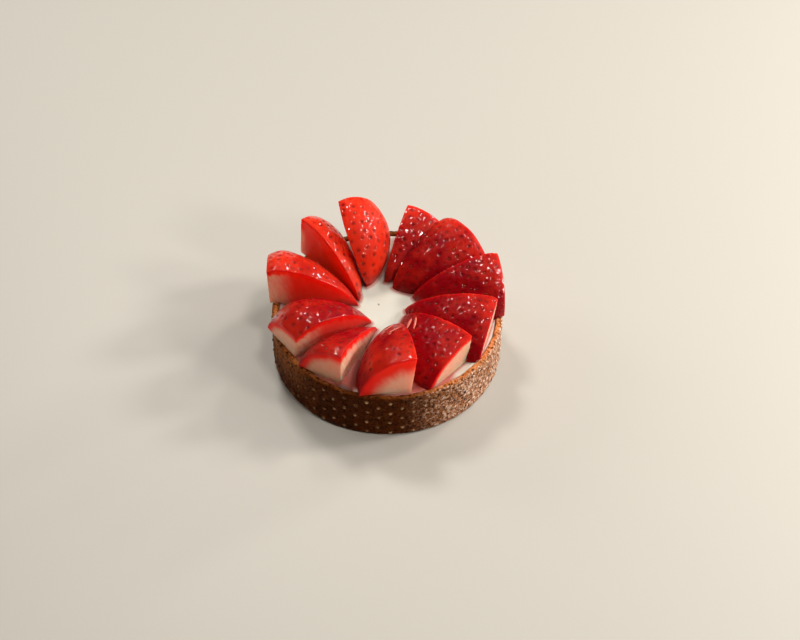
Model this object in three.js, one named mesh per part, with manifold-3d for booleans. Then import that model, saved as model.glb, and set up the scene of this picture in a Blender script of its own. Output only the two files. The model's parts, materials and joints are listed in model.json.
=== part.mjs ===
// Strawberry tart for one: a shortcrust case baked in a perforated ring, filled with vanilla cream
// and topped with a pinwheel of strawberry wedges, each leaning on the next.
// Millimetres, +Z up. The origin is the middle of the case's flat underside.
import * as THREE from "three";
import { mergeGeometries, mergeVertices } from "three/addons/utils/BufferGeometryUtils.js";
import Module from "manifold-3d";

const wasm = await Module();
wasm.setup();

// Case
const CASE_RADIUS = 40; // an 80 mm tart ring
const CASE_HEIGHT = 18.8; // a 20 mm ring, less what the dough shrinks
const WALL = 2.2; // rolled dough: the wall and the floor
const RIM_ROUND = 0.7;
const RIM_BEVEL = 1; // inner edge of the rim
const BASE_ROUND = 1.2;

// Nubs that the ring's holes leave on the outside, in staggered columns
const NUB_COLUMNS = 64;
const NUB_ROWS = 7;
const NUB_PITCH = 4.9; // height between the nubs of one column
const NUB_LOWEST = 1.8;
const NUB_RADIUS = 1.1;
const NUB_HEIGHT = 0.4;

// Cream
const CREAM_TOP = 16.4; // above the table, so a little below the rim

// Strawberries
const TIP_POWER = 0.72; // roundness of every tip: 0.5 is a ball, 1 is a cone
const STEPS_ALONG = 16;
const STEPS_ACROSS = 12;

const GAP = 0.3; // clearance between pieces that touch

// The wedges, anticlockwise seen from above, from the one at +X. Millimetres and degrees.
// azimuth: heading of the axis from its tip. tip: where the axis starts. pitch: how much the stem
// end is raised. lean: of the anticlockwise cut face, from upright towards the wedge. wedge: angle
// between the cut faces. radius, rise: widest, sideways and upwards. skew, tilt: slant of the stem
// cut, sideways and upwards, where it isn't square. blunt: fullness behind the tip. shoulder: share
// of the length where it is widest. stem: share of the widest radius left at the stem cut.
const BERRIES = [
  {
    azimuth: -15, tip: [6, 2.5, 17.2], pitch: -5, lean: -10, wedge: 88,
    length: 31, radius: 18.5, rise: 15.5, blunt: 1.5, shoulder: 0.9, stem: 0.97,
  },
  {
    azimuth: 11.5, tip: [8.3, 8.5, 17.2], pitch: -5, lean: -8, wedge: 92,
    length: 29.5, radius: 17.5, rise: 17.5, blunt: 1.4, shoulder: 0.9, stem: 0.97,
  },
  {
    azimuth: 32.5, tip: [1.4, 12.4, 17.2], pitch: -2, lean: -35, wedge: 140,
    length: 30.5, radius: 17, rise: 16.5, skew: 4, blunt: 1.4, shoulder: 0.9, stem: 0.95,
  },
  {
    azimuth: 66.5, tip: [-1.4, 15, 17.2], pitch: 0, lean: -10, wedge: 92,
    length: 26, radius: 15.5, rise: 15, blunt: 1.2, shoulder: 0.95, stem: 1,
  },
  {
    azimuth: 107.5, tip: [-7.5, 12.8, 17.3], pitch: 24, lean: -22, wedge: 180, tilt: 20,
    length: 25.2, radius: 13, rise: 14.5, blunt: 1.7, shoulder: 0.7, stem: 0.85,
  },
  {
    azimuth: 135, tip: [-9.8, 5.6, 17], pitch: 1, lean: 3, wedge: 80,
    length: 31.2, radius: 14.5, rise: 18.5, blunt: 1.6, shoulder: 0.85, stem: 0.95,
  },
  {
    azimuth: 182.5, tip: [-10, 3.8, 17], pitch: -2, lean: -4, wedge: 88,
    length: 30.8, radius: 20, rise: 20.8, blunt: 1.5, shoulder: 0.85, stem: 0.93,
  },
  {
    azimuth: 213.5, tip: [-5, -4, 17], pitch: -4, lean: -12, wedge: 90,
    length: 31.4, radius: 19, rise: 19, skew: 5, blunt: 1.7, shoulder: 0.72, stem: 0.84,
  },
  {
    azimuth: 246.5, tip: [-3, -7, 17], pitch: -4, lean: 0, wedge: 77, tilt: -5,
    length: 29.3, radius: 17.5, rise: 17.8, skew: -3, blunt: 1.35, shoulder: 0.9, stem: 0.97,
  },
  {
    azimuth: 280, tip: [3, -6, 17.2], pitch: -3, lean: -8, wedge: 88, tilt: -6,
    length: 31, radius: 17.5, rise: 18.7, blunt: 1.8, shoulder: 0.9, stem: 1,
  },
  {
    azimuth: 316.5, tip: [6, -0.6, 17.2], pitch: -2, lean: -6, wedge: 90,
    length: 29.4, radius: 20, rise: 12.5, skew: 4, blunt: 1.7, shoulder: 0.9, stem: 1,
  },
];

const pastry = new THREE.MeshStandardMaterial({ color: "#8a5427", roughness: 0.6, metalness: 0 });
const cream = new THREE.MeshStandardMaterial({ color: "#ece3cf", roughness: 0.4, metalness: 0 });
const strawberry = new THREE.MeshStandardMaterial({ color: "#b3121c", roughness: 0.3, metalness: 0 });

const radians = THREE.MathUtils.degToRad;

// Position only, so that the shapes can be joined and their shared vertices merged
function bare(geometry) {
  const plain = geometry.index ? geometry.toNonIndexed() : geometry.clone();
  plain.deleteAttribute("normal");
  plain.deleteAttribute("uv");
  return plain;
}

function toSolid(geometry) {
  const merged = mergeVertices(bare(geometry), 1e-3);
  const mesh = new wasm.Mesh({
    numProp: 3,
    vertProperties: merged.attributes.position.array,
    triVerts: new Uint32Array(merged.index.array),
  });
  return new wasm.Manifold(mesh);
}

function toGeometry(solid) {
  const mesh = solid.getMesh();
  const geometry = new THREE.BufferGeometry();
  geometry.setAttribute("position", new THREE.BufferAttribute(mesh.vertProperties, 3));
  geometry.setIndex(new THREE.BufferAttribute(mesh.triVerts, 1));
  geometry.computeVertexNormals();
  return geometry;
}

// Turned about +Z, from [radius, height] points that start and end on the axis
function turned(points, segments) {
  const profile = points.map(([radius, height]) => new THREE.Vector2(radius, height));
  return new THREE.LatheGeometry(profile, segments).rotateX(Math.PI / 2);
}

function quarterRound(centreRadius, centreHeight, round, fromDegrees) {
  return [0, 45, 90].map((turn) => {
    const angle = radians(fromDegrees + turn);
    return [centreRadius + round * Math.cos(angle), centreHeight + round * Math.sin(angle)];
  });
}

// One nub: a blunt cone that points out along +X, rooted in the wall
function nub() {
  const root = 0.08;
  const foot = NUB_RADIUS * (1 + root / NUB_HEIGHT);
  const cone = turned([[0, -root], [foot, -root], [0, NUB_HEIGHT]], 6);
  return toSolid(cone.rotateY(Math.PI / 2));
}

function pastryCase() {
  const outline = [
    [0, 0],
    ...quarterRound(CASE_RADIUS - BASE_ROUND, BASE_ROUND, BASE_ROUND, -90),
    ...quarterRound(CASE_RADIUS - RIM_ROUND, CASE_HEIGHT - RIM_ROUND, RIM_ROUND, 0),
    [0, CASE_HEIGHT],
  ];
  let block = toSolid(turned(outline, NUB_COLUMNS));

  // A column of nubs up the middle of every facet of the wall
  const columnTurn = 360 / NUB_COLUMNS;
  const wall = CASE_RADIUS * Math.cos(radians(columnTurn / 2));
  const nubs = [];
  for (let column = 0; column < NUB_COLUMNS; column++) {
    for (let row = column % 2; row < NUB_ROWS; row += 2) {
      const height = NUB_LOWEST + (row * NUB_PITCH) / 2;
      nubs.push(nub().translate([wall, 0, height]).rotate([0, 0, (column + 0.5) * columnTurn]));
    }
  }
  block = wasm.Manifold.union([block, ...nubs]);

  const inside = CASE_RADIUS - WALL;
  const hollow = turned(
    [
      [0, WALL],
      [inside, WALL],
      [inside, CASE_HEIGHT - RIM_BEVEL],
      [inside + RIM_BEVEL, CASE_HEIGHT + RIM_BEVEL],
      [0, CASE_HEIGHT + RIM_BEVEL],
    ],
    NUB_COLUMNS,
  );
  return toGeometry(block.subtract(toSolid(hollow)));
}

function creamFilling() {
  const radius = CASE_RADIUS - WALL - GAP;
  return turned([[0, WALL + GAP], [radius, WALL + GAP], [radius, CREAM_TOP], [0, CREAM_TOP]], NUB_COLUMNS);
}

// Radius of a berry, as a share of its widest, at a share of its length from the tip
function berryProfile(share, { blunt, shoulder, stem }) {
  if (share <= shoulder) return (1 - (1 - share / shoulder) ** blunt) ** TIP_POWER;
  return 1 - (1 - stem) * ((share - shoulder) / (1 - shoulder)) ** 2;
}

// A wedge with its tip at the origin, its axis along +X, and the cut faces named for where they
// end up: the anticlockwise one towards +Y, the clockwise one below
function berryWedge(berry) {
  const { length, radius, rise, lean, wedge, skew = 0, tilt = 0 } = berry;
  const outline = Array.from({ length: STEPS_ALONG + 1 }, (_, i) => {
    const share = (i / STEPS_ALONG) ** 1.25; // closer together at the tip
    return new THREE.Vector2(radius * berryProfile(share, berry), length * share);
  });
  outline.push(new THREE.Vector2(0, length));
  const skin = new THREE.LatheGeometry(outline, STEPS_ACROSS, radians(lean), radians(wedge));

  const face = new THREE.ShapeGeometry(new THREE.Shape(outline));
  const anticlockwiseCut = face.clone().rotateY(radians(lean - 90));
  const clockwiseCut = face.clone().rotateY(radians(lean + wedge - 90));
  clockwiseCut.setIndex(Array.from(clockwiseCut.index.array).reverse());

  const closed = mergeGeometries([skin, anticlockwiseCut, clockwiseCut].map(bare));
  closed.rotateZ(-Math.PI / 2).scale(1, 1, rise / radius);
  const position = closed.attributes.position;
  for (let i = 0; i < position.count; i++) {
    const [x, y, z] = [position.getX(i), position.getY(i), position.getZ(i)];
    const shear = z * Math.tan(radians(tilt)) - y * Math.tan(radians(skew));
    position.setX(i, x * (1 + shear / length));
  }
  return closed;
}

function placedWedge(berry) {
  const place = new THREE.Matrix4()
    .makeTranslation(...berry.tip)
    .multiply(new THREE.Matrix4().makeRotationZ(radians(berry.azimuth)))
    .multiply(new THREE.Matrix4().makeRotationY(-radians(berry.pitch)));
  return toSolid(berryWedge(berry).applyMatrix4(place));
}

// What the wedges rest on: the cream, and the rim where a stem end reaches over it
function bed() {
  const [beyond, step] = [2 * CASE_RADIUS, CASE_RADIUS - WALL - GAP];
  const [rimLevel, creamLevel] = [CASE_HEIGHT + GAP, CREAM_TOP + GAP];
  const outline = [
    [0, 0],
    [beyond, 0],
    [beyond, rimLevel],
    [step, rimLevel],
    [step, creamLevel],
    [0, creamLevel],
  ];
  return toSolid(turned(outline, NUB_COLUMNS));
}

// A wedge made larger by the clearance, for its neighbours to stand off from
function grown(solid) {
  const { min, max } = solid.boundingBox();
  const middle = [0, 1, 2].map((axis) => (min[axis] + max[axis]) / 2);
  const factor = [0, 1, 2].map((axis) => 1 + (3 * GAP) / (max[axis] - min[axis]));
  return solid.translate(middle.map((m) => -m)).scale(factor).translate(middle);
}

// Each wedge gives way to the bed and to the three wedges clockwise of it, which it leans against
function settledWedges() {
  const whole = BERRIES.map(placedWedge);
  const count = whole.length;
  return whole.map((solid, i) => {
    const clockwise = [1, 2, 3].map((step) => grown(whole[(i + count - step) % count]));
    return [bed(), ...clockwise].reduce((left, other) => left.subtract(other), solid);
  });
}

const tart = new THREE.Group();
tart.name = "strawberry_tart";

function add(name, geometry, material) {
  const mesh = new THREE.Mesh(geometry, material);
  mesh.name = name;
  tart.add(mesh);
}

add("pastry_case", pastryCase(), pastry);
add("cream_filling", creamFilling(), cream);
settledWedges().forEach((solid, i) => {
  add("strawberry_" + String(i + 1).padStart(2, "0"), toGeometry(solid), strawberry);
});

export default tart;
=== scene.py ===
# %% [markdown]
# # A strawberry tart
#
# A tart for one person: a shortcrust case, vanilla cream, and a pinwheel of strawberry slices.
# The solids of the tart are already there as a fixed frame, in metres, with the table at Z = 0. This
# notebook dresses them: each solid is replaced by a mesh with the surface that the real food has.
#
# The frame is loaded first, because every piece takes its place and size from it.

# %% Load the frame
import json
import math
from collections import namedtuple

import bmesh
import bpy
import numpy as np
from mathutils import Matrix, Vector, kdtree, noise

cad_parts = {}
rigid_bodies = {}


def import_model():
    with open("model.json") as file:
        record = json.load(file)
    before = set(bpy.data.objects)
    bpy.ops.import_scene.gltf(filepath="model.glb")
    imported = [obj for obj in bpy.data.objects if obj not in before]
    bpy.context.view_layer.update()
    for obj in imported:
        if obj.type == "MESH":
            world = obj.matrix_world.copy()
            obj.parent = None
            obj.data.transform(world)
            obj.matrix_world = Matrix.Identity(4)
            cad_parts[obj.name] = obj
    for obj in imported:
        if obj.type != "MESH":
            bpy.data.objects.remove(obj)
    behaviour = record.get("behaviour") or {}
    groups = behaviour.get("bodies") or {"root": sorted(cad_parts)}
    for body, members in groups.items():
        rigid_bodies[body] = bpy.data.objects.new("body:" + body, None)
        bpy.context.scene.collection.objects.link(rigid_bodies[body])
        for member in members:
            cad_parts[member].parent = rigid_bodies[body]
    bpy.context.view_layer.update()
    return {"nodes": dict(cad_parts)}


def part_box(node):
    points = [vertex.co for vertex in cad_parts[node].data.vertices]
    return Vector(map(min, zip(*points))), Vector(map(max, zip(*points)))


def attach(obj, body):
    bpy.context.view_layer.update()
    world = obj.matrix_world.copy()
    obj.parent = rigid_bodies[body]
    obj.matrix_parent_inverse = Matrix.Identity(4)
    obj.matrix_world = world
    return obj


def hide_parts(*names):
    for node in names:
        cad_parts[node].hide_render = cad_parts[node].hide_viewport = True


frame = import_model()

MM = 0.001
SEED = 7
print("solids:", ", ".join(sorted(frame["nodes"])))

# %% [markdown]
# ## The camera
#
# A camera is easiest to place as a tripod is: what it looks at, how far away it stands, how high it
# is and how much it is rolled. It could also be moved by hand, but numbers are easier to repeat. A
# long lens from 60 cm keeps the round case nearly free of perspective.

# %% Place the camera
TARGET = Vector((4.5, 4.0, 10.0)) * MM
DISTANCE = 600 * MM
CAMERA_HEIGHT = math.radians(47.6)  # above the horizon, looking along +Y
CAMERA_ROLL = math.radians(1.2)
LENS = 76.6  # millimetres, for a sensor 36 mm wide

camera = bpy.data.objects.new("camera", bpy.data.cameras.new("camera"))
camera.data.lens = LENS
camera.data.sensor_width = 36
camera.data.clip_start = 0.01
tripod = Matrix.Translation(TARGET) @ Matrix.Rotation(math.pi / 2 - CAMERA_HEIGHT, 4, "X")
camera.matrix_world = tripod @ Matrix.Rotation(CAMERA_ROLL, 4, "Z") @ Matrix.Translation((0, 0, DISTANCE))
bpy.context.scene.collection.objects.link(camera)
bpy.context.scene.camera = camera
print("camera at", [round(x, 3) for x in camera.matrix_world.translation])

# %% [markdown]
# ## Tools for every piece
#
# A mesh is shaped in a bmesh and then becomes an object. Fine relief could be sculpted or come from a
# Displace modifier, but it is easier to steer on arrays: all the points of a mesh are read as rows of
# millimetres, moved, and written back. What a material has to know about a point, such as how deep
# it lies under the skin, is stored as an attribute.

# %% Make and finish an object
def new_object(name, bm):
    mesh = bpy.data.meshes.new(name)
    bm.to_mesh(mesh)
    bm.free()
    piece = bpy.data.objects.new(name, mesh)
    bpy.context.scene.collection.objects.link(piece)
    return piece


def finish_piece(piece, slot, material, *nodes):
    piece.data.materials.append(material)
    piece.data.polygons.foreach_set("use_smooth", np.ones(len(piece.data.polygons), bool))
    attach(piece, "root")
    if nodes:
        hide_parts(*nodes)
    print(piece.name, len(piece.data.polygons), "faces")


print("full run")


# %% Read, move and mark the points of a mesh
def points_of(mesh):
    flat = np.empty(len(mesh.vertices) * 3, np.float32)
    mesh.vertices.foreach_get("co", flat)
    return flat.reshape(-1, 3).astype(float) / MM


def normals_of(mesh):
    flat = np.empty(len(mesh.vertices) * 3, np.float32)
    mesh.vertex_normals.foreach_get("vector", flat)
    return flat.reshape(-1, 3).astype(float)


def move_points(mesh, points):
    mesh.vertices.foreach_set("co", (points * MM).ravel().astype(np.float32))
    mesh.update()


def store(mesh, name, values):
    """Stores a number or a vector for each point, for the material to read."""
    is_vector = np.ndim(values) == 2
    attribute = mesh.attributes.new(name, "FLOAT_VECTOR" if is_vector else "FLOAT", "POINT")
    attribute.data.foreach_set("vector" if is_vector else "value", np.ravel(values).astype(np.float32))


case_points = points_of(frame["nodes"]["pastry_case"].data)
print("the case is", round(2 * case_points[:, 1].max(), 1), "mm across")


# %% Sums on many points at once
def unit(vectors):
    return vectors / np.maximum(np.linalg.norm(vectors, axis=1, keepdims=True), 1e-9)


def smoothstep(low, high, values):
    """0 below low and 1 above high, with a soft step between them; the other way round if low > high."""
    share = np.clip((values - low) / (high - low), 0, 1)
    return share * share * (3 - 2 * share)


def ripple(points, size, seed=0):
    """Smooth noise from -1 to 1, with features about size millimetres wide."""
    offset = np.array((seed * 13.7, seed * 5.1, seed * 9.3))
    return np.array([noise.noise(point) for point in (points / size + offset).tolist()])


def nearest(points, targets):
    """For each point, how far its nearest target is and which one that is."""
    tree = kdtree.KDTree(len(targets))
    for i, target in enumerate(targets.tolist()):
        tree.insert(target, i)
    tree.balance()
    found = [tree.find(point) for point in points.tolist()]
    return np.array([f[2] for f in found]), np.array([f[1] for f in found])


print("a soft step from 0 to 4:", smoothstep(0, 4, np.arange(5)).round(2))

# %% [markdown]
# ## Tools for every material
#
# Colours are written as sRGB hex, as a colour picker shows them, and turned to the linear values
# that the shader works in. One function adds a node, sets it and wires it, so a material reads from
# top to bottom as a recipe. A loop lays each next colour over the last with a Mix node.
#
# A crinkled gloss is made by leaning the normal of the clear coat. A bump of fine noise would do
# that too, but it spreads each lamp into a dull haze. Flat Voronoi cells, each leaning another way,
# act like small mirrors, so a lamp shows as separate sharp glints.

# %% Material tools
MIX_A, MIX_B = 6, 7  # inputs of a Mix node that mixes colours
MIXED = 2  # its output


def linear(hex_colour):
    parts = [int(hex_colour[i : i + 2], 16) / 255 for i in (1, 3, 5)]
    return [p / 12.92 if p <= 0.04045 else ((p + 0.055) / 1.055) ** 2.4 for p in parts] + [1.0]


def add_node(tree, kind, inputs=(), **settings):
    """Adds a node. inputs gives each socket, by name or number, a value or another node's output."""
    added = tree.nodes.new("ShaderNode" + kind)
    if kind == "Mix":
        added.data_type = "RGBA"  # every mix here is one of colours
    for name, value in settings.items():
        setattr(added, name, value)
    for name, value in dict(inputs).items():
        if isinstance(value, bpy.types.NodeSocket):
            tree.links.new(value, added.inputs[name])
        else:
            added.inputs[name].default_value = value
    return added


def new_material(name):
    material = bpy.data.materials.new(name)
    material.use_nodes = True
    material.node_tree.nodes.clear()
    return material, material.node_tree


def crinkled(tree, where, size, tilt, normal):
    """A normal that leans a little another way on each facet, facets being about size metres wide."""
    cells = add_node(tree, "TexVoronoi", {"Vector": where, "Scale": 1 / size})
    middle = (0.5, 0.5, 0.5)
    lean = add_node(tree, "VectorMath", {0: cells.outputs["Color"], 1: middle}, operation="SUBTRACT")
    leaning = add_node(tree, "VectorMath", {0: lean.outputs[0], "Scale": 2 * tilt}, operation="SCALE")
    turned = add_node(tree, "VectorMath", {0: normal, 1: leaning.outputs[0]}, operation="ADD")
    return add_node(tree, "VectorMath", {0: turned.outputs[0]}, operation="NORMALIZE").outputs[0]


print("picker grey #808080 is linear", round(linear("#808080")[0], 3))

# %% [markdown]
# ## How a strawberry is described
#
# A strawberry is nearly a body of revolution, so one curve from tip to stem describes it. A slice is
# what lies between two cuts through its axis and one cut across the stem end. The numbers that
# shaped the solids describe each slice here too, so its surface can be found again exactly:
#
# - azimuth, tip, pitch: which way the axis points, where it starts, how much it rises
# - lean, wedge: at which angle the first cut starts, and how many degrees lie between the cuts
# - length, radius, rise: the berry's length, half its width, and its height over the axis, in mm
# - skew, tilt: how much the cut across the stem end slants, in degrees
# - blunt, shoulder, stem: how round the tip is, where the berry is widest, how wide its stem end is
#
# The last five say how ripe and how wet it is:
#
# - flush: 0 is a crimson skin, 1 an orange-red one; partly ripeness and partly painted
#   light, since the slices that light shines through are set more orange and shaded ones crimson
# - rim: how thick the red layer under the skin is, in mm
# - core: how pale the inside is, 0 to 1
# - reach: how far the pale flesh reaches from the stem end, in mm
# - gloss: how wet with glaze the skin is, 0 to 1

# %% Describe the slices
Slice = namedtuple(
    "Slice",
    "azimuth tip pitch lean wedge length radius rise skew tilt blunt shoulder stem "
    "flush rim core reach gloss",
)
SLICES = [
    Slice(-15, (6, 2.5, 17.2), -5, -10, 88, 31, 18.5, 15.5, 0, 0, 1.5, 0.9, 0.97, 0, 1.2, 0.5, 9, 0.4),
    Slice(11.5, (8.3, 8.5, 17.2), -5, -8, 92, 29.5, 17.5, 17.5, 0, 0, 1.4, 0.9, 0.97, 0, 1.5, 0.1, 5, 0.7),
    Slice(32.5, (1.4, 12.4, 17.2), -2, -35, 140, 30.5, 17, 16.5, 4, 0, 1.4, 0.9, 0.95, 0.1, 2.5, 0.1, 5, 0.3),
    Slice(66.5, (-1.4, 15, 17.2), 0, -10, 92, 26, 15.5, 15, 0, 0, 1.2, 0.95, 1, 0.2, 2.5, 0.1, 5, 1),
    Slice(107.5, (-7.5, 12.8, 17.3), 24, -22, 180, 25.2, 13, 14.5, 0, 20, 1.7, 0.7, 0.85, 1, 3, 0.2, 5, 0.45),
    Slice(135, (-9.8, 5.6, 17), 1, 3, 80, 31.2, 14.5, 18.5, 0, 0, 1.6, 0.85, 0.95, 1, 2.5, 0, 4, 1),
    Slice(182.5, (-10, 3.8, 17), -2, -4, 88, 30.8, 20, 20.8, 0, 0, 1.5, 0.85, 0.93, 0.5, 1.4, 0.03, 10, 1),
    Slice(213.5, (-5, -4, 17), -4, -12, 90, 31.4, 19, 19, 5, 0, 1.7, 0.72, 0.84, 0.05, 1.7, 0.1, 13, 1),
    Slice(246.5, (-3, -7, 17), -4, 0, 77, 29.3, 17.5, 17.8, -3, -5, 1.35, 0.9, 0.97, 0.05, 2, 0.8, 12, 1),
    Slice(280, (3, -6, 17.2), -3, -8, 88, 31, 17.5, 18.7, 0, -6, 1.8, 0.9, 1, 0.2, 4, 0.3, 6, 0.5),
    Slice(316.5, (6, -0.6, 17.2), -2, -6, 90, 29.4, 20, 12.5, 4, 0, 1.7, 0.9, 1, 0, 1.6, 0.55, 8, 0.3),
]
print(len(SLICES), "slices, the longest", max(s.length for s in SLICES), "mm")

# %% From the tart to the berry and back
TIP_POWER = 0.72  # below 1 the tip is rounder


def profile(along, s):
    """Radius of the whole berry, in mm, at a distance along its axis from the tip."""
    share = np.clip(along / s.length, 0, 1)
    nose = (1 - (1 - np.minimum(share / s.shoulder, 1)) ** s.blunt) ** TIP_POWER
    neck = 1 - (1 - s.stem) * (np.maximum(share - s.shoulder, 0) / (1 - s.shoulder)) ** 2
    return s.radius * np.where(share <= s.shoulder, nose, neck)


def placing(s):
    turn = Matrix.Rotation(math.radians(s.azimuth), 4, "Z")
    rise = Matrix.Rotation(-math.radians(s.pitch), 4, "Y")
    return np.array(Matrix.Translation(s.tip) @ turn @ rise)


def slant(y, z, s):
    """How much the stem cut's slant stretches the berry at a point, as a share."""
    return (z * math.tan(math.radians(s.tilt)) - y * math.tan(math.radians(s.skew))) / s.length


def to_berry(points, s):
    """Points of the tart as distance along the axis, angle from upright and distance from the axis."""
    back = np.linalg.inv(placing(s))
    x, y, z = (points @ back[:3, :3].T + back[:3, 3]).T
    upright = z * s.radius / s.rise
    return x / (1 + slant(y, z, s)), np.arctan2(-y, upright), np.hypot(y, upright)


def from_berry(along, angle, out, s):
    y = -out * np.sin(angle)
    z = out * np.cos(angle) * s.rise / s.radius
    there = placing(s)
    return np.stack([along * (1 + slant(y, z, s)), y, z], axis=1) @ there[:3, :3].T + there[:3, 3]


def skin_directions(along, angle, s):
    """The skin's outward normal, its direction towards the stem and its direction round the axis."""
    step = 0.05
    here = from_berry(along, angle, profile(along, s), s)
    stemwards = unit(from_berry(along + step, angle, profile(along + step, s), s) - here)
    around = unit(from_berry(along, angle + 0.01, profile(along, s), s) - here)
    return unit(np.cross(around, stemwards)), stemwards, around


print("radius of slice 1, every 5 mm:", profile(np.arange(5, 31, 5), SLICES[0]).round(1))

# %% [markdown]
# ## From a faceted solid to a soft slice
#
# The solid of a slice is made of flat facets with knife-sharp edges. A Bevel and a Subdivision
# Surface would round it, but they bunch up where thin triangles meet. A voxel remesh turns it into
# an even net of small quads instead, fine enough to carry dimples, and a little smoothing rounds the
# cut edges as a wet cut edge is. The triangles of a solid are loose, so a copy is welded first.

# %% Weld and remesh a solid
VOXEL = 0.3  # mm
EDGE_SMOOTHING = 3  # passes


def fine_copy(node):
    """A welded, remeshed copy of a solid, its edges a little rounded."""
    bm = bmesh.new()
    bm.from_mesh(frame["nodes"][node].data)
    bmesh.ops.remove_doubles(bm, verts=bm.verts, dist=0.001 * MM)
    bmesh.ops.recalc_face_normals(bm, faces=bm.faces)
    rough = new_object("rough", bm)
    remesh = rough.modifiers.new("remesh", "REMESH")
    remesh.mode = "VOXEL"
    remesh.voxel_size = VOXEL * MM
    bpy.context.view_layer.update()
    finished = rough.evaluated_get(bpy.context.evaluated_depsgraph_get())
    bm = bmesh.new()
    bm.from_mesh(finished.to_mesh())
    finished.to_mesh_clear()
    bpy.data.objects.remove(rough)
    for _ in range(EDGE_SMOOTHING):
        bmesh.ops.smooth_vert(
            bm, verts=bm.verts, factor=0.5, use_axis_x=True, use_axis_y=True, use_axis_z=True
        )
    return bm


print("voxels of", VOXEL, "mm")

# %% [markdown]
# ## Dimples
#
# A strawberry's seeds sit in dimples, in rows that are staggered like bricks, 3 mm or so apart. They
# could be painted as a bump, but dimples of half a millimetre change the outline and catch the light,
# so they are pressed into the mesh. The same list of places makes the dimples and, later, the seeds.

# %% Find the places of the seeds
SEED_SPACING = 3.2  # mm
FIRST_ROW = 1.6  # mm from the tip
LAST_ROW = 0.6  # mm from the stem end
SCATTER_ALONG = 0.35  # mm
SCATTER_AROUND = 0.5  # mm


def seed_places(s, random):
    """Staggered rows of places on the skin, as distance along the axis and angle."""
    along = FIRST_ROW
    row = 0
    places = []
    while along < s.length - LAST_ROW:
        radius = profile(along, s)
        count = max(4, round(2 * math.pi * radius / (SEED_SPACING * 1.15)))
        for i in range(count):
            angle = (i + 0.5 * (row % 2)) * 2 * math.pi / count - math.pi
            nudge = random.normal(0, SCATTER_ALONG)
            places.append([along + nudge, angle + random.normal(0, SCATTER_AROUND) / max(radius, 3)])
        slope = (profile(along + 0.1, s) - radius) / 0.1
        along += 0.82 * SEED_SPACING / math.hypot(1, slope)
        row += 1
    places = np.array(places)
    start = math.radians(s.lean)
    inside = (places[:, 1] > start) & (places[:, 1] < start + math.radians(s.wedge))
    return places[inside]


print("seeds on slice 1:", len(seed_places(SLICES[0], np.random.default_rng(SEED))))

# %% [markdown]
# ## Skin, cuts and flesh
#
# A slice has skin on its round side and flesh on its cuts. They could be two materials, but on the
# fruit they meet in one soft, slightly ragged edge, so every point gets a share of skin from 0 to 1.
# A point belongs to the skin where the mesh faces the way that the berry's curve faces.
#
# Flesh is red under the skin and pale at the core, and the border between them runs in fingers along
# the fibres. How pale each point is depends on its depth under the skin and on its distance from the
# stem end, where a strawberry ripens last.

# %% Tell skin from flesh
Surface = namedtuple("Surface", "along angle out depth skin stem_cut")


def read_surface(points, normals, s):
    """Where in the berry each point lies, and how much it belongs to the skin and to the stem cut."""
    along, angle, out = to_berry(points, s)
    radius = profile(along, s)
    outward, _, around = skin_directions(along, angle, s)
    faces_out = np.sum(normals * outward, axis=1)
    faces_stem = np.abs(np.sum(normals * unit(np.cross(outward, around)), axis=1))
    skin = smoothstep(0.55, 0.85, faces_out) * smoothstep(0.86, 0.94, out / np.maximum(radius, 0.1))
    # The cut across the stem end faces along the berry and lies in its last millimetre
    stem_cut = smoothstep(0.6, 0.9, faces_stem) * smoothstep(s.length - 1.5, s.length - 0.5, along)
    depth = np.maximum(radius - out, 0)
    smooth_out = out + (radius - out) * skin
    return Surface(along, angle, smooth_out, depth, skin, stem_cut * (1 - skin))


def flesh_marks(surface, index, s):
    """How pale each point is, and its place among the fibres, which run outwards from the core."""
    along, angle, out, depth, _, stem_cut = surface
    fibre = np.stack([along + 0.35 * depth, 0.18 * depth, 2 * angle], axis=1)
    end_fibre = np.stack([9 * angle, 0.18 * out, along * 0], axis=1)
    fibre += (end_fibre - fibre) * (stem_cut > 0.5)[:, None]
    fingers = 0.5 * ripple(fibre, 0.7, index) + 0.8 * ripple(fibre, 2.2, index + 30)
    fingers *= s.rim * (1 - 0.7 * stem_cut)
    pallor = 0.85 * smoothstep(0.7 * s.rim, 2.3 * s.rim, depth + fingers)
    pallor *= s.core + (1 - s.core) * smoothstep(s.reach, 0, s.length - along)
    return pallor, fibre


print("red layer under the skin:", [s.rim for s in SLICES], "mm")

# %% Shape a slice and mark its points
DIMPLE_DEPTH = 0.28  # mm
DIMPLE_WIDTH = 0.65
CREAM_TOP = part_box("cream_filling")[1].z / MM


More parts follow.
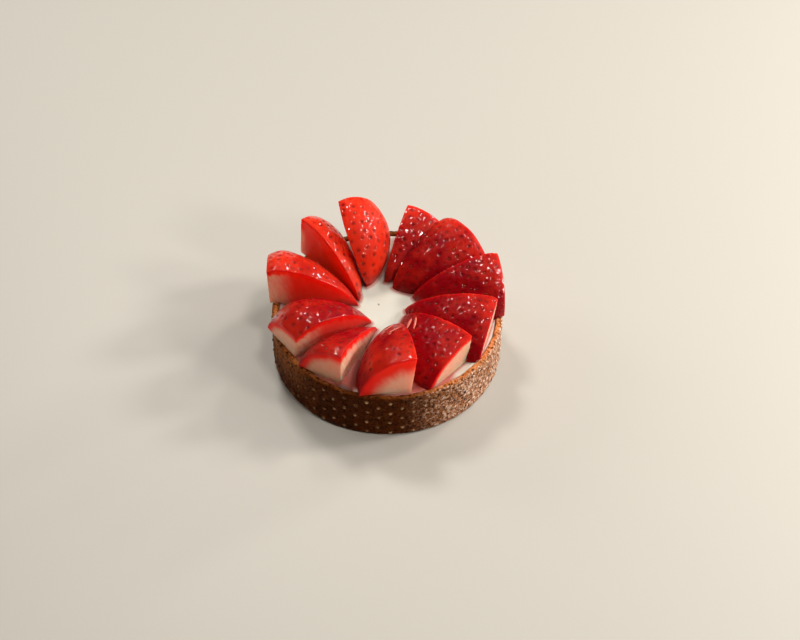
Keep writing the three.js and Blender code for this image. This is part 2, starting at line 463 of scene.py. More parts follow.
def mark_slice(mesh, points, surface, dimple, index, s):
    """Stores what the material has to know about each point."""
    along, angle, _, depth, skin, stem_cut = surface
    pallor, fibre = flesh_marks(surface, index, s)
    # Skin is more orange towards the stem end, where it ripens last, and painted deeper red down the
    # flanks, as shade on the sides turned from the light
    ripening_and_shade = 0.35 * smoothstep(0.45, 1, along / s.length) - 0.45 * smoothstep(0.5, 1.2, np.abs(angle))
    flush = s.flush + ripening_and_shade + 0.15 * ripple(points, 9, index + 70)
    ragged = smoothstep(-0.5, 0.5, ripple(points, 3, index + 80))
    # Near the cream the fruit is darkened, partly from syrup soaked in and partly as painted contact shade
    above_cream = points[:, 2] - CREAM_TOP + ripple(points, 4, index + 90)
    darkened_to = 1.8 + 5 * smoothstep(0.5, 0.1, along / s.length)  # mm above the cream, most at the tip
    store(mesh, "skin", skin)
    store(mesh, "gloss", s.gloss * (0.2 + 0.8 * skin))
    # A thin lighter line along the cut edge of the skin: a painted highlight
    store(mesh, "edge", 4 * skin * (1 - skin) * ragged)
    store(mesh, "depth", depth)
    store(mesh, "juice_and_shade", smoothstep(darkened_to, 0.1, above_cream))
    store(mesh, "pallor", pallor)
    store(mesh, "dimple", dimple)
    store(mesh, "flush", np.clip(flush, 0, 1))
    store(mesh, "stem_cut", stem_cut)
    store(mesh, "fibre", fibre)


def shape_slice(index, s):
    """Makes a slice. Also returns the places of the seeds that show, and how deep each one sits."""
    random = np.random.default_rng(SEED + index)
    piece = new_object(f"slice_{index + 1:02d}", fine_copy(f"strawberry_{index + 1:02d}"))
    normals = normals_of(piece.data)
    surface = read_surface(points_of(piece.data), normals, s)
    points = from_berry(surface.along, surface.angle, surface.out, s)

    places = seed_places(s, random)
    seeds = from_berry(places[:, 0], places[:, 1], profile(places[:, 0], s), s)
    distance, which = nearest(points, seeds)
    strength = random.uniform(0.3, 1.2, len(seeds))
    dimple = np.exp(-((distance / DIMPLE_WIDTH) ** 2)) * strength[which]
    dimple *= smoothstep(1.5, 0.3, surface.depth)
    # Gentle waves, 6 mm wide on the skin and 5 mm wide on the cuts
    waves = 0.22 * ripple(points, 6, index) * surface.skin
    cut_waves = 0.12 * ripple(points, 5, index + 40) * (1 - surface.skin)
    relief = waves + cut_waves - DIMPLE_DEPTH * dimple
    move_points(piece.data, points + normals * relief[:, None])
    mark_slice(piece.data, points, surface, dimple, index, s)

    reach, closest = nearest(seeds, points)
    shown = (reach < 0.5) & (surface.skin[closest] > 0.5)
    return piece, places[shown], strength[shown]


print("cream stands", round(CREAM_TOP, 1), "mm high")

# %% [markdown]
# ## Strawberry: the colours of flesh and skin
#
# The flesh is red under the skin and pales to cream at the core, with fibres that run from the core
# out to the seeds. The skin is thin and deep red, uneven over a few millimetres, and painted darker
# in its dimples, as shade. A texture could be painted on it, but it would be the same on each slice.
# Here the colours follow the marks that were stored for each point, so no two slices are alike.

# %% Colours of the flesh
def flesh_colour(tree, mark):
    # The fibre mark is in millimetres: fibres are 0.8 mm apart, and long from the core outwards
    fibre = add_node(tree, "Attribute", attribute_name="fibre").outputs["Vector"]
    fibres = add_node(tree, "TexNoise", {"Vector": fibre, "Scale": 1.2, "Detail": 2.0}).outputs["Fac"]
    streaks = add_node(
        tree,
        "MapRange",
        {"Value": fibres, "From Min": 0.35, "From Max": 0.65, "To Min": -0.22, "To Max": 0.22},
    )
    calm = add_node(tree, "MapRange", {"Value": mark["stem_cut"], "To Min": 1.0, "To Max": 0.3})
    calmed = add_node(tree, "Math", {0: streaks.outputs[0], 1: calm.outputs[0]}, operation="MULTIPLY")
    pallor = mark["pallor"]
    streaked = add_node(tree, "Math", {0: calmed.outputs[0], 1: pallor, 2: pallor}, operation="MULTIPLY_ADD")
    # The last millimetre under the skin is a deeper red
    under_skin = add_node(
        tree,
        "MapRange",
        {"Value": mark["depth"], "From Min": 0.2, "From Max": 1.2, "To Min": 0.8, "To Max": 0.0},
    )
    # Red flesh, a warmer red that partly paints the light through the lit slices, the pale streaks,
    # and the deeper red
    colour = linear("#f01a12")
    shares = (mark["flush"], streaked.outputs[0], under_skin.outputs[0])
    for share, over in zip(shares, ("#ff3010", "#f7bfa0", "#b00c12")):
        colour = add_node(tree, "Mix", {0: share, MIX_A: colour, MIX_B: linear(over)}).outputs[MIXED]
    return colour


print("pale flesh is linear", [round(c, 3) for c in linear("#f7bfa0")[:3]])


# %% Colours of the skin, and of skin and flesh together
def skin_colour(tree, mark, blotches):
    uneven = add_node(
        tree,
        "MapRange",
        {"Value": blotches, "From Min": 0.3, "From Max": 0.7, "To Min": -0.22, "To Max": 0.22},
    )
    flush_and_light_share = add_node(tree, "Math", {0: mark["flush"], 1: uneven.outputs[0]}, use_clamp=True)
    dimple_shade = add_node(tree, "Math", {0: mark["dimple"], 1: 0.75}, operation="MULTIPLY")
    # Crimson, orange-red where flush is high (partly painted light), and painted darker in
    # the dimples, as shade
    colour = linear("#86020c")
    for share, over in ((flush_and_light_share, "#d83018"), (dimple_shade, "#5e040b")):
        layer = {0: share.outputs[0], MIX_A: colour, MIX_B: linear(over)}
        colour = add_node(tree, "Mix", layer).outputs[MIXED]
    return colour


def strawberry_colour(tree, mark, blotches):
    both = {0: mark["skin"], MIX_A: flesh_colour(tree, mark), MIX_B: skin_colour(tree, mark, blotches)}
    colour = add_node(tree, "Mix", both).outputs[MIXED]
    # A thin lighter line along the cut edge of the skin is a painted highlight; near the cream the fruit
    # darkens, partly from syrup soaked in and partly as painted shade where it touches the cream
    for name, most, over in (("edge", 0.1, "#f07a66"), ("juice_and_shade", 0.8, "#7c140d")):
        share = add_node(tree, "Math", {0: mark[name], 1: most}, operation="MULTIPLY")
        layer = {0: share.outputs[0], MIX_A: colour, MIX_B: linear(over)}
        colour = add_node(tree, "Mix", layer).outputs[MIXED]
    return colour


print("crimson skin is linear", [round(c, 3) for c in linear("#86020c")[:3]])

# %% [markdown]
# ## Strawberry: wet flesh under a glaze
#
# A strawberry is wet and soft and lets light in: red light travels millimetres through it, and green
# and blue hardly any way, so a slice glows red where light comes through from behind. Subsurface
# scattering gives that. Over it lies a thin brushed glaze, which set in small crinkles. The coat
# layer of the shader stands for it, so no second shell of mesh is needed.

# %% Make the strawberry material
BLOTCH = 5 * MM
CRINKLE = 0.78 * MM  # facets of the set glaze
CRINKLE_TILT = 0.23
FLESH_GRAIN = 0.7 * MM
RED_LIGHT_REACH = 8 * MM


def crinkled_glaze(tree, where):
    """The normal of the glaze, its facets warped a little so that they are not all straight-edged."""
    warp = add_node(tree, "TexNoise", {"Vector": where, "Scale": 1 / (1.5 * MM), "Detail": 1.0})
    warped = add_node(tree, "VectorMath", {0: warp.outputs["Color"], "Scale": 1.2 * MM}, operation="SCALE")
    somewhere = add_node(tree, "VectorMath", {0: where, 1: warped.outputs[0]}, operation="ADD")
    facing = add_node(tree, "NewGeometry").outputs["Normal"]
    return crinkled(tree, somewhere.outputs[0], CRINKLE, CRINKLE_TILT, facing)


def strawberry_material():
    # Glazed cut strawberry: a wet, deep red that glows at thin places, with small sharp glints
    material, tree = new_material("glazed_strawberry")
    names = ("skin", "edge", "depth", "pallor", "dimple", "flush", "juice_and_shade", "stem_cut", "gloss")
    mark = {name: add_node(tree, "Attribute", attribute_name=name).outputs["Fac"] for name in names}
    where = add_node(tree, "TexCoord").outputs["Object"]
    uneven = add_node(tree, "TexNoise", {"Vector": where, "Scale": 1 / BLOTCH, "Detail": 3.0})
    blotches = uneven.outputs["Fac"]
    grain = add_node(tree, "TexNoise", {"Vector": where, "Scale": 1 / FLESH_GRAIN, "Detail": 2.0})
    bump_inputs = {"Height": grain.outputs["Fac"], "Distance": 0.12 * MM, "Strength": 0.8}
    rough = add_node(tree, "Bump", bump_inputs)
    # Glaze lies thick in some places and thin in others
    pooled = add_node(
        tree,
        "MapRange",
        {"Value": blotches, "From Min": 0.4, "From Max": 0.53, "To Min": 0.4, "To Max": 1.0},
    )
    glazed = add_node(tree, "Math", {0: pooled.outputs[0], 1: mark["gloss"]}, operation="MULTIPLY")
    shader = add_node(
        tree,
        "BsdfPrincipled",
        {
            "Base Color": strawberry_colour(tree, mark, blotches),
            "Roughness": 0.45,
            "IOR": 1.4,
            "Specular IOR Level": 0.08,
            "Subsurface Weight": 0.9,
            "Subsurface Radius": (1.0, 0.12, 0.07),
            "Subsurface Scale": RED_LIGHT_REACH,
            "Coat Weight": glazed.outputs[0],
            "Coat Roughness": 0.03,
            "Coat IOR": 1.45,
            "Normal": rough.outputs[0],
            "Coat Normal": crinkled_glaze(tree, where),
        },
    )
    add_node(tree, "OutputMaterial", {"Surface": shader.outputs[0]})
    return material


glazed_strawberry = strawberry_material()
print(glazed_strawberry.name, len(glazed_strawberry.node_tree.nodes), "nodes")

# %% Make the slices
seed_list = []
for index, s in enumerate(SLICES):
    piece, places, strength = shape_slice(index, s)
    finish_piece(piece, "strawberry", glazed_strawberry, f"strawberry_{index + 1:02d}")
    seed_list.append((places, strength))

# %% [markdown]
# ## Seeds
#
# What looks like a seed is a tiny dry fruit, a millimetre long, pointed towards the tip of the berry.
# Seeds could be scattered with instances, but a plain mesh goes everywhere a tart may be used. Each
# is a small sphere of few faces, drawn out at one end and turned to lie in its dimple, and all of
# them are one mesh. Most are dark with glaze; a few have stayed straw yellow.

# %% Shape one seed
SEED_LENGTH = 1.05  # mm
SEED_WIDTH = 0.65
SEED_THICKNESS = 0.45


def seed_template():
    """One seed at the origin, in mm, lying along X with its point towards -X."""
    bm = bmesh.new()
    bmesh.ops.create_uvsphere(bm, u_segments=8, v_segments=5, radius=1)
    bmesh.ops.rotate(bm, verts=bm.verts, cent=(0, 0, 0), matrix=Matrix.Rotation(math.pi / 2, 3, "Y"))
    for v in bm.verts:
        x, y, z = v.co
        taper = 0.7 + 0.3 * x
        v.co = Vector((SEED_LENGTH * x, SEED_WIDTH * y * taper, SEED_THICKNESS * z * taper)) / 2
    mesh = bpy.data.meshes.new("seed")
    bm.to_mesh(mesh)
    bm.free()
    mesh.attributes.new("shade", "FLOAT", "POINT")
    return mesh


template = seed_template()
print("one seed has", len(template.polygons), "faces")


# %% Lay a seed in every dimple
def make_seeds():
    random = np.random.default_rng(SEED)
    bm = bmesh.new()
    for s, (places, strength) in zip(SLICES, seed_list):
        centres = from_berry(places[:, 0], places[:, 1], profile(places[:, 0], s), s)
        outward, stemwards, around = skin_directions(places[:, 0], places[:, 1], s)
        for centre, up, stem, side, deep in zip(centres, outward, stemwards, around, strength):
            seed = template.copy()
            straw = random.uniform(0, 0.1) + (random.uniform() > 0.94) * 0.4
            shades = np.full(len(seed.vertices), straw, np.float32)
            seed.attributes["shade"].data.foreach_set("value", shades)
            sunk = Vector(centre - up * (DIMPLE_DEPTH * deep + 0.08))
            lie = Matrix.Translation(sunk) @ Matrix((stem, side, up)).transposed().to_4x4()
            seed.transform(Matrix.Scale(MM, 4) @ lie @ Matrix.Scale(0.65 + 0.4 * deep, 4))
            bm.from_mesh(seed)
            bpy.data.meshes.remove(seed)
    bmesh.ops.recalc_face_normals(bm, faces=bm.faces)
    return new_object("strawberry_seeds", bm)


print("seeds that show:", sum(len(places) for places, _ in seed_list))


# %% Finish the seeds
def seeds_material():
    # Dry seed browned by glaze: a small dark dot, nearly matt, that breaks the shine around it
    material, tree = new_material("strawberry_seed")
    shade = add_node(tree, "Attribute", attribute_name="shade").outputs["Fac"]
    colour = add_node(tree, "Mix", {0: shade, MIX_A: linear("#741408"), MIX_B: linear("#b0702c")})
    shader = add_node(
        tree,
        "BsdfPrincipled",
        {
            "Base Color": colour.outputs[MIXED],
            "Roughness": 0.4,
            "Specular IOR Level": 0.15,
            "Coat Weight": 0.15,
            "Coat Roughness": 0.1,
        },
    )
    add_node(tree, "OutputMaterial", {"Surface": shader.outputs[0]})
    return material


finish_piece(make_seeds(), "strawberry", seeds_material())

# %% [markdown]
# ## Streaks of glaze
#
# The glaze was brushed on warm and set in thin streaks over two of the tips. A bevelled curve could
# make one, but its ends would be blunt. Here each streak is a row of rings that follows the skin a
# tenth of a millimetre above it, swells in the middle and closes to a point at both ends, and the
# rings are bridged.

# %% Make the streaks of glaze
STREAKS = [
    # slice, along from and to in mm, angle from and to in degrees, width in mm
    (9, 10.1, 6.6, 28, 12, 0.4),
    (9, 13.4, 11.6, 19, 2.5, 0.4),
    (9, 15.1, 14.4, 20, 16, 0.35),
    (9, 9.4, 11.3, 5.2, 0.5, 0.35),
    (10, 5.7, 7.8, 17, 39, 1.2),
    (10, 6.8, 10.5, 9, 30, 0.9),
]
STREAK_RINGS = 25
RING_POINTS = 8
STREAK_THICKNESS = 0.36  # mm


def make_streaks():
    bm = bmesh.new()
    turns = np.linspace(0, 2 * math.pi, RING_POINTS + 1)[:-1]
    for index, along_from, along_to, angle_from, angle_to, width in STREAKS:
        s = SLICES[index]
        share = np.linspace(0, 1, STREAK_RINGS)
        along = along_from + (along_to - along_from) * share
        angle = np.radians(angle_from + (angle_to - angle_from) * share)
        middle = from_berry(along, angle, profile(along, s), s)
        up, _, _ = skin_directions(along, angle, s)
        middle += 0.08 * ripple(middle, 1.5, index)[:, None] * up
        sideways = unit(np.cross(up, np.gradient(middle, axis=0)))
        swell = np.sin(math.pi * share)[:, None] ** 0.5
        strands = [
            middle
            + sideways * swell * width / 2 * math.cos(turn)
            + up * (0.1 + STREAK_THICKNESS / 2 * swell * math.sin(turn))
            for turn in turns
        ]
        rings = [[bm.verts.new(point * MM) for point in ring] for ring in np.stack(strands, axis=1)]
        loops = [[bm.edges.new((ring[i - 1], ring[i])) for i in range(RING_POINTS)] for ring in rings]
        for near, far in zip(loops, loops[1:]):
            bmesh.ops.bridge_loops(bm, edges=near + far)
    bmesh.ops.remove_doubles(bm, verts=bm.verts, dist=0.001 * MM)
    bmesh.ops.recalc_face_normals(bm, faces=bm.faces)
    return new_object("glaze_streaks", bm)


print(len(STREAKS), "streaks")


# %% Finish the streaks
def streak_material():
    # Set fruit glaze: a glassy thread, its pale pink partly a painted highlight along it
    material, tree = new_material("set_glaze")
    shader = add_node(
        tree,
        "BsdfPrincipled",
        {
            "Base Color": linear("#e87c68"),
            "Roughness": 0.15,
            "IOR": 1.45,
            "Subsurface Weight": 0.3,
            "Subsurface Scale": 1 * MM,
            "Coat Weight": 1.0,
            "Coat Roughness": 0.05,
        },
    )
    add_node(tree, "OutputMaterial", {"Surface": shader.outputs[0]})
    return material


finish_piece(make_streaks(), "strawberry", streak_material())

# %% [markdown]
# ## Cream
#
# Set vanilla cream is smooth and satin. It was spread level and then the slices were pressed in, so
# it stands up a little against each slice and against the case, and a ridge of it rose between two
# of them. A cloth or fluid simulation could press it, but its result is hard to steer. Here the top
# is spun as many rings, and its points are lifted where a slice is near.

# %% Spin the cream
CREAM_RINGS = 90
CREAM_SPOKES = 360
SIDE_CUTS = 6


def spin_round(name, bm, steps):
    """Spins a section once round the Z axis, and closes the seam and the poles."""
    bmesh.ops.spin(
        bm,
        geom=bm.verts[:] + bm.edges[:],
        cent=(0, 0, 0),
        axis=(0, 0, 1),
        angle=2 * math.pi,
        steps=steps,
        use_merge=True,
    )
    bmesh.ops.remove_doubles(bm, verts=bm.verts, dist=0.01 * MM)
    bmesh.ops.recalc_face_normals(bm, faces=bm.faces)
    return new_object(name, bm)


def spin_cream():
    low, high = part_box("cream_filling")
    bm = bmesh.new()
    outline = [(0, low.z), (high.x, low.z), (high.x, high.z), (0, high.z)]
    corners = [bm.verts.new((x, 0, z)) for x, z in outline]
    edges = [bm.edges.new(pair) for pair in zip(corners, corners[1:])]
    bmesh.ops.subdivide_edges(bm, edges=[edges[2]], cuts=CREAM_RINGS)
    bmesh.ops.subdivide_edges(bm, edges=[edges[0], edges[1]], cuts=SIDE_CUTS)
    return spin_round("vanilla_cream", bm, CREAM_SPOKES)


vanilla_cream = spin_cream()

# %% Lift the cream and paint its shade and stains
VANILLA_FLECKS = [(-3.1, 5.1, 0)]
RIDGE = ((-10.6, -22.4), (-13.6, -35))  # where cream was pressed up between two slices


def from_ridge(points):
    """Distance of each point, seen from above, from the line of the ridge."""
    start, end = np.array(RIDGE)
    share = np.clip((points[:, :2] - start) @ (end - start) / np.sum((end - start) ** 2), 0, 1)
    return np.linalg.norm(points[:, :2] - start - share[:, None] * (end - start), axis=1)


def shape_cream(mesh):
    points = points_of(mesh)
    top = points[:, 2] > CREAM_TOP - 0.01
    fruit = [points_of(bpy.data.objects[f"slice_{i + 1:02d}"].data) for i in range(len(SLICES))]
    feet = np.concatenate(fruit)
    feet = feet[feet[:, 2] < CREAM_TOP + 1.2]
    distance, _ = nearest(points[top] * (1, 1, 0), feet * (1, 1, 0))
    radius = np.hypot(points[top, 0], points[top, 1])
    # A little higher at each slice, and 1.5 mm higher where the cream climbs the case
    lift = 0.25 + 0.5 * np.exp(-distance / 0.7) + 1.5 * smoothstep(33, 37.5, radius)
    lift += 0.18 * ripple(points[top] * (1, 1, 0), 9, 3)
    lift += 2.5 * smoothstep(3, 0.6, from_ridge(points[top]))
    points[top, 2] += lift
    move_points(mesh, points)

    # Painted shade: the notches between the slices at the front lie in their shadow and are painted
    # red-brown, as is the ridge between two slices; right at the fruit the cream is reddened too
    azimuth = np.degrees(np.arctan2(points[top, 1], points[top, 0])) % 360
    notch = smoothstep(14, 20, radius) * smoothstep(312, 305, azimuth) * smoothstep(195, 205, azimuth)
    shade_and_stain = 0.85 * notch * smoothstep(7, 3, distance + 1.5 * ripple(points[top], 3, 11))
    shade_and_stain += 0.75 * smoothstep(1.3, 0.3, distance)
    shade_and_stain += 0.9 * smoothstep(4, 2, from_ridge(points[top]))
    juice_and_shade = np.zeros(len(points))
    juice_and_shade[top] = np.clip(shade_and_stain, 0, 0.9)
    store(mesh, "juice_and_shade", juice_and_shade)
    fleck_distance, _ = nearest(points * (1, 1, 0), np.array(VANILLA_FLECKS))
    store(mesh, "fleck", smoothstep(0.5, 0.2, fleck_distance) * top * 0.8)
    print("cream is lifted by", lift.min().round(2), "to", lift.max().round(2), "mm")


shape_cream(vanilla_cream.data)


# %% Finish the cream
def cream_material():
    # Set vanilla cream: an even off-white with a satin shine, its shadows softened from within
    material, tree = new_material("vanilla_cream")
    where = add_node(tree, "TexCoord").outputs["Object"]
    soft = add_node(tree, "TexNoise", {"Vector": where, "Scale": 1 / (9 * MM), "Detail": 2.0})
    juice_and_shade = add_node(tree, "Attribute", attribute_name="juice_and_shade")
    fleck = add_node(tree, "Attribute", attribute_name="fleck")
    colour = linear("#cac9bc")
    for share, over in ((soft, "#d3d2c8"), (juice_and_shade, "#ac463a"), (fleck, "#3a2416")):
        layer = {0: share.outputs["Fac"], MIX_A: colour, MIX_B: linear(over)}
        colour = add_node(tree, "Mix", layer).outputs[MIXED]
    bump = add_node(tree, "Bump", {"Height": soft.outputs["Fac"], "Distance": 0.3 * MM, "Strength": 0.4})
    shader = add_node(
        tree,
        "BsdfPrincipled",
        {
            "Base Color": colour,
            "Roughness": 0.4,
            "IOR": 1.45,
            "Specular IOR Level": 0.35,
            "Subsurface Weight": 0.4,
            "Subsurface Radius": (1.0, 0.7, 0.5),
            "Subsurface Scale": 1.5 * MM,
            "Normal": bump.outputs[0],
        },
    )
    add_node(tree, "OutputMaterial", {"Surface": shader.outputs[0]})
    return material


finish_piece(vanilla_cream, "cream", cream_material(), "cream_filling")

# %% [markdown]
# ## Case
#
# Shortcrust is baked flour, butter and sugar: dry, brittle and full of pores. This case was baked in
# a perforated ring, so small nubs stand out of its wall in staggered columns.
#
# A solid box could be cut round and shelled, but a case is a turned shape, so its section is drawn
# once and spun. The wall has many rows of points, so that nubs, pores and an uneven surface can be
# real relief.

# %% Spin the case
CASE_STEPS = 800
CASE_RADIUS = 40.0  # mm
WALL = 2.2
RIM_ROUND = 0.7
BASE_ROUND = 1.2
CASE_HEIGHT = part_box("pastry_case")[1].z / MM
INSIDE = CASE_RADIUS - WALL


def arc(centre_x, centre_z, radius, start, steps):
    angles = [math.radians(start + 90 * i / steps) for i in range(steps + 1)]
    return [(centre_x + radius * math.cos(a), centre_z + radius * math.sin(a)) for a in angles]


def spin_case():
    section = [(0, 0), *arc(CASE_RADIUS - BASE_ROUND, BASE_ROUND, BASE_ROUND, -90, 5)]
    section += arc(CASE_RADIUS - RIM_ROUND, CASE_HEIGHT - RIM_ROUND, RIM_ROUND, 0, 4)
    section += arc(INSIDE + RIM_ROUND, CASE_HEIGHT - RIM_ROUND, RIM_ROUND, 90, 4)
    section += [(INSIDE, WALL), (0, WALL)]
    bm = bmesh.new()
    corners = [bm.verts.new((x * MM, 0, z * MM)) for x, z in section]
    edges = [bm.edges.new(pair) for pair in zip(corners, corners[1:])]
    long_edges = [e for e in edges if e.calc_length() > 5 * MM]
    outer_wall = [e for e in long_edges if min(v.co.x for v in e.verts) > (CASE_RADIUS - 0.1) * MM]
    inner_wall = [e for e in long_edges if all(abs(v.co.x - INSIDE * MM) < 0.01 * MM for v in e.verts)]
    at_rim = [e for e in edges if all(v.co.z > (CASE_HEIGHT - 0.05) * MM for v in e.verts)]
    rim = [e for e in at_rim if e.calc_length() > 0.5 * MM]
    bmesh.ops.subdivide_edges(bm, edges=outer_wall, cuts=52)
    bmesh.ops.subdivide_edges(bm, edges=rim, cuts=5)
    bmesh.ops.subdivide_edges(bm, edges=inner_wall, cuts=18)
    return spin_round("crust", bm, CASE_STEPS)


crust = spin_case()
print("case", round(CASE_HEIGHT, 1), "mm high,", len(crust.data.vertices), "points")

# %% [markdown]
# ## Nubs, pores and colour of the case
#
# The ring's holes are 4.9 mm apart, and the dough bulged into each by less than half a millimetre.
# Pores are pits left by butter and steam. Both are laid out as lists of places, and each point of
# the wall moves by how near the next one is. The rim and the whole wall are a little wavy, because
# dough shrinks unevenly.
#
# Marks paint light on the case: it is painted paler and more gold on the sides where the light falls,
# and its nubs lighter there. The gold at the inner rim is partly browning and partly painted light.

# %% Lay out nubs and pores
NUB_COLUMNS = 64
NUB_ROWS = 7
NUB_PITCH = 4.9  # mm
NUB_LOWEST = 1.8
NUB_RADIUS = 0.78
NUB_HEIGHT = 0.45
PORES = 1800
PORE_DEPTH = 0.3


def near_nubs(points, random):
    """How much each point is part of a nub. No two nubs are quite alike."""
    nubs = []
    for column in range(NUB_COLUMNS):
        turn = math.radians((column + 0.5) * 360 / NUB_COLUMNS)
        for row in range(column % 2, NUB_ROWS, 2):
            level = NUB_LOWEST + row * NUB_PITCH / 2
            nubs.append((CASE_RADIUS * math.cos(turn), CASE_RADIUS * math.sin(turn), level))
    nubs = np.array(nubs) + random.normal(0, 0.12, (len(nubs), 3))
    strength = random.uniform(0.55, 1.1, len(nubs))
    distance, which = nearest(points, nubs)
    return np.clip(1 - (distance / NUB_RADIUS) ** 2, 0, 1) ** 1.5 * strength[which]


def near_pores(points, random):
    turn = random.uniform(0, 2 * math.pi, PORES)
    level = random.uniform(0.3, CASE_HEIGHT, PORES)
    pore_radius = random.uniform(0.22, 0.5, PORES)
    pores = np.stack([CASE_RADIUS * np.cos(turn), CASE_RADIUS * np.sin(turn), level], axis=1)
    distance, which = nearest(points, pores)
    return np.clip(1 - (distance / pore_radius[which]) ** 2, 0, 1)


print("nubs:", NUB_COLUMNS * NUB_ROWS // 2, "pores:", PORES)


# %% Shape and mark the case
def shape_case(mesh):
    random = np.random.default_rng(SEED)
    points, normals = points_of(mesh), normals_of(mesh)
    radius = np.hypot(points[:, 0], points[:, 1])
    azimuth = np.arctan2(points[:, 1], points[:, 0])
    flat = points * (1, 1, 0)
    shows = smoothstep(INSIDE - 1, INSIDE + 0.1, radius) * smoothstep(0.0, 1.0, points[:, 2])
    wall = smoothstep(CASE_RADIUS - 0.8, CASE_RADIUS - 0.2, radius)
    nub = near_nubs(points, random) * wall
    pore = near_pores(points, random) * (1 - 0.8 * nub)

    # Three sizes of unevenness, from slow waves to single crumbs
    crumb = 0.12 * ripple(points, 4.5, 1) + 0.16 * ripple(points, 1.3, 2) + 0.06 * ripple(points, 0.7, 4)
    relief = NUB_HEIGHT * nub - PORE_DEPTH * pore * wall + crumb * shows
    points = points + normals * relief[:, None]
    # The upper 6 mm shrank unevenly
    high = smoothstep(CASE_HEIGHT - 6, CASE_HEIGHT, points[:, 2])
    points[:, 2] += high * (0.3 * ripple(flat, 9, 5) + 0.12 * ripple(flat, 2.5, 6))
    move_points(mesh, points)

    # Painted light: paler on the lit side towards azimuth -20 degrees and more gold on the left wall
    # towards 180; nubs are painted lighter towards -50, where they catch the light
    painted_lit_side = smoothstep(0.35, 1, np.cos(azimuth + math.radians(20)) + 0.2 * ripple(flat, 8, 12))
    lit_left_side = smoothstep(0.5, 1, np.cos(azimuth - math.radians(180)) + 0.1 * ripple(flat, 8, 13))
    lit_nubs = 0.35 + 0.65 * smoothstep(0, 0.6, np.cos(azimuth + math.radians(50)))
    golden_lit_rim = smoothstep(CASE_RADIUS, CASE_RADIUS - 1.0, radius + 0.7 * ripple(points, 3, 9))
    golden_lit_rim *= 0.15 + 0.85 * np.maximum(painted_lit_side, lit_left_side)
    golden_lit_rim *= smoothstep(INSIDE - 0.5, INSIDE, radius)
    left_wall_light = 0.5 * lit_left_side * smoothstep(2, CASE_HEIGHT, points[:, 2])
    lit_wall = np.maximum(0.75 * painted_lit_side, left_wall_light) * (1 - pore)
    store(mesh, "pore", pore * wall * 0.8)
    store(mesh, "nub", nub * lit_nubs)
    store(mesh, "golden_and_lit", np.maximum(golden_lit_rim, lit_wall))
    store(mesh, "painted_lit_side", painted_lit_side * (0.3 + 0.7 * wall))
    print("relief from", relief.min().round(2), "to", relief.max().round(2), "mm")


shape_case(crust.data)

# %% [markdown]
# ## Crust: baked dough and dried egg wash
#
# The dough browned where it touched the hot ring. It was brushed with egg, which dries to a thin
# patchy gloss. Pale flecks on the lit side paint the glints of that gloss, and dark pits paint the
# shade in the hollows of the crumb. Separate dots of paler colour look like sesame, so one noise
# makes both. Its low values are the pits and its high values the flecks, and so each fleck ends
# where a pit begins.

# %% Colours of the baked dough
GRAIN = 0.6 * MM
BROWNING = 7 * MM


def baked_colour(tree, where):
    patches = add_node(tree, "TexNoise", {"Vector": where, "Scale": 1 / BROWNING, "Detail": 4.0})
    grain_inputs = {"Vector": where, "Scale": 1 / GRAIN, "Detail": 3.0, "Roughness": 0.6}
    grain = add_node(tree, "TexNoise", grain_inputs).outputs["Fac"]
    speckle = add_node(
        tree, "MapRange", {"Value": grain, "From Min": 0.45, "From Max": 0.65, "To Min": 0.0, "To Max": 0.2}
    )
    colour = linear("#340e00")
    for share, over in ((patches, "#5c2400"), (speckle, "#985a22")):
        layer = {0: share.outputs[0], MIX_A: colour, MIX_B: linear(over)}
        colour = add_node(tree, "Mix", layer).outputs[MIXED]
    return colour


print("grain", round(GRAIN / MM, 1), "mm, browning in patches of", BROWNING / MM, "mm")


# %% Colours of the crust
def crust_colour(tree, where, mark, crumb):
    lighter = add_node(tree, "Math", {0: mark["nub"], 1: 1.1}, operation="MULTIPLY", use_clamp=True)
    pit = add_node(
        tree, "MapRange", {"Value": crumb, "From Min": 0.38, "From Max": 0.46, "To Min": 0.9, "To Max": 0.0}
    )
    painted_glint = add_node(
        tree, "MapRange", {"Value": crumb, "From Min": 0.53, "From Max": 0.61, "To Min": 0.0, "To Max": 1.0}
    )
    fleck = add_node(tree, "Math", {0: painted_glint.outputs[0], 1: mark["painted_lit_side"]}, operation="MULTIPLY")
    layers = (
        (mark["golden_and_lit"], "#dc8646"),  # rim browning, and painted light on the rim and wall on the lit sides
        (lighter.outputs[0], "#e2b283"),  # nubs, paler where the hot ring did not touch them, and lighter as a painted highlight on the lit side
        # pores and the hollows of the crumb are painted dark, as shade in them
        (mark["pore"], "#3f2009"),
        (pit.outputs[0], "#2c1204"),
        (fleck.outputs[0], "#ffe0cc"),  # painted glints of the egg wash, on the lit side
    )
    colour = baked_colour(tree, where)
    for share, over in layers:
        colour = add_node(tree, "Mix", {0: share, MIX_A: colour, MIX_B: linear(over)}).outputs[MIXED]
    return colour


print("dried egg wash is linear", [round(c, 3) for c in linear("#ffe0cc")[:3]])

# %% Finish the case
CRUMB = 1.1 * MM
WASH_FACET = 0.7 * MM
WASH_TILT = 0.7


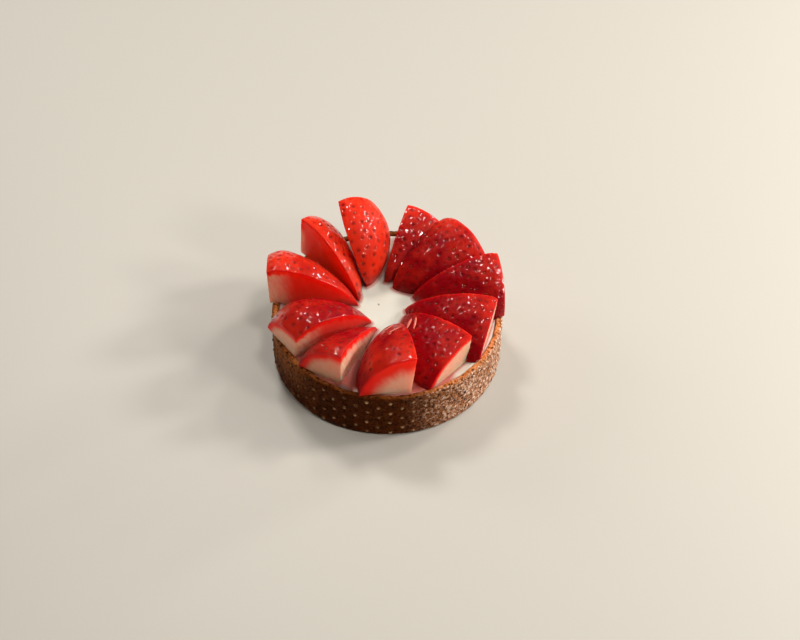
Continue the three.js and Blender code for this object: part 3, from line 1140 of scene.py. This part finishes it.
def crust_material():
    # Egg-washed shortcrust: a dry brown crumb, matt in its pits, with a gloss and painted pale glints on the
    # lit side
    material, tree = new_material("egg_washed_shortcrust")
    where = add_node(tree, "TexCoord").outputs["Object"]
    names = ("pore", "golden_and_lit", "nub", "painted_lit_side")
    mark = {name: add_node(tree, "Attribute", attribute_name=name).outputs["Fac"] for name in names}
    crumb_inputs = {"Vector": where, "Scale": 1 / CRUMB, "Detail": 3.0, "Roughness": 0.65}
    crumb = add_node(tree, "TexNoise", crumb_inputs).outputs["Fac"]
    bump = add_node(tree, "Bump", {"Height": crumb, "Distance": 1.2 * MM, "Strength": 1.0})
    washed = add_node(tree, "MapRange", {"Value": mark["painted_lit_side"], "To Min": 0.02, "To Max": 0.8})
    shader = add_node(
        tree,
        "BsdfPrincipled",
        {
            "Base Color": crust_colour(tree, where, mark, crumb),
            "Roughness": 0.45,
            "IOR": 1.45,
            "Specular IOR Level": 0.03,
            "Coat Weight": washed.outputs[0],
            "Coat Roughness": 0.1,
            "Normal": bump.outputs[0],
            "Coat Normal": crinkled(tree, where, WASH_FACET, WASH_TILT, bump.outputs[0]),
        },
    )
    add_node(tree, "OutputMaterial", {"Surface": shader.outputs[0]})
    return material


finish_piece(crust, "pastry", crust_material(), "pastry_case")

# %% [markdown]
# ## Table
#
# A plain pale table, so that nothing but the tart draws the eye. It is a disc of 3 m across, whose
# edge lies far outside the view. A large cube would do too, but a disc has one face and one side.

# %% Lay the table
TABLE_RADIUS = 1.5  # metres

bm = bmesh.new()
bmesh.ops.create_circle(bm, cap_ends=True, segments=96, radius=TABLE_RADIUS)
table = new_object("table", bm)
# Satin paint: pale and even, with a soft sheen and no clear reflection
satin_paint, tree = new_material("satin_paint")
shader = add_node(tree, "BsdfPrincipled", {"Base Color": linear("#bab6ae"), "Roughness": 0.5})
add_node(tree, "OutputMaterial", {"Surface": shader.outputs[0]})
table.data.materials.append(satin_paint)
print("table", 2 * TABLE_RADIUS, "m across")

# %% [markdown]
# ## Light
#
# Three broad soft boxes, one high on the right, one low behind and a warm one at the front left,
# shape the slices and fill their shadows. They are hidden from gloss, because over wet fruit they
# would lie as a haze that greys its red.
#
# Small lamps, most of them low on the right, send light through the slices and rake over the crust.
# In the crinkled glaze each of them shows as many small sharp glints, as lamps in a kitchen do. One
# strong lamp would do for the light, but its glints would all lie on one side.

# %% Set the lights
LIGHT_TARGET = (0, 0, 20 * MM)
SMALL_LAMP_DISTANCE = 0.7  # metres


def soft_box(name, azimuth, height, distance, width, power, colour):
    """An area light that faces the tart. azimuth 0 is +X, 90 is +Y."""
    light = bpy.data.lights.new(name, "AREA")
    light.size = width
    light.energy = power
    light.color = linear(colour)[:3]
    lamp = bpy.data.objects.new(name, light)
    turn = Matrix.Rotation(math.radians(azimuth), 4, "Z")
    lower = Matrix.Rotation(math.radians(90 - height), 4, "Y")
    away = Matrix.Translation((0, 0, distance))
    lamp.matrix_world = Matrix.Translation(LIGHT_TARGET) @ turn @ lower @ away
    bpy.context.scene.collection.objects.link(lamp)
    print(name, power, "W from azimuth", azimuth, "and height", height)
    return lamp


for name, azimuth, height, distance, width, power, colour in (
    ("key", 20, 62, 0.7, 0.4, 0.7, "#fdfcf9"),
    ("back", 152, 25, 0.7, 0.25, 1.2, "#fdfcf9"),
    ("fill", 212, 24, 1.0, 0.8, 0.8, "#ffe2c8"),
):
    soft_box(name, azimuth, height, distance, width, power, colour).visible_glossy = False

for name, azimuth, height, width, power in (
    ("lamp", 12, 32, 0.1, 2.6),
    ("side_lamp", -28, 32, 0.1, 1.5),
    ("low_lamp", 38, 19, 0.1, 1.3),
    ("high_lamp", 42, 48, 0.08, 0.8),
    ("top_lamp", 308, 72, 0.1, 1.3),
    ("back_lamp", 114, 54, 0.12, 2.0),
):
    soft_box(name, azimuth, height, SMALL_LAMP_DISTANCE, width, power, "#fffaf2")

# %% Set the air of the room
world = bpy.data.worlds.new("studio")
bpy.context.scene.world = world
world.use_nodes = True
background = world.node_tree.nodes["Background"]
background.inputs["Color"].default_value = linear("#dcdcdc")
background.inputs["Strength"].default_value = 0.03
bpy.context.scene.view_settings.view_transform = "Standard"
print("world light", round(background.inputs["Strength"].default_value, 2))
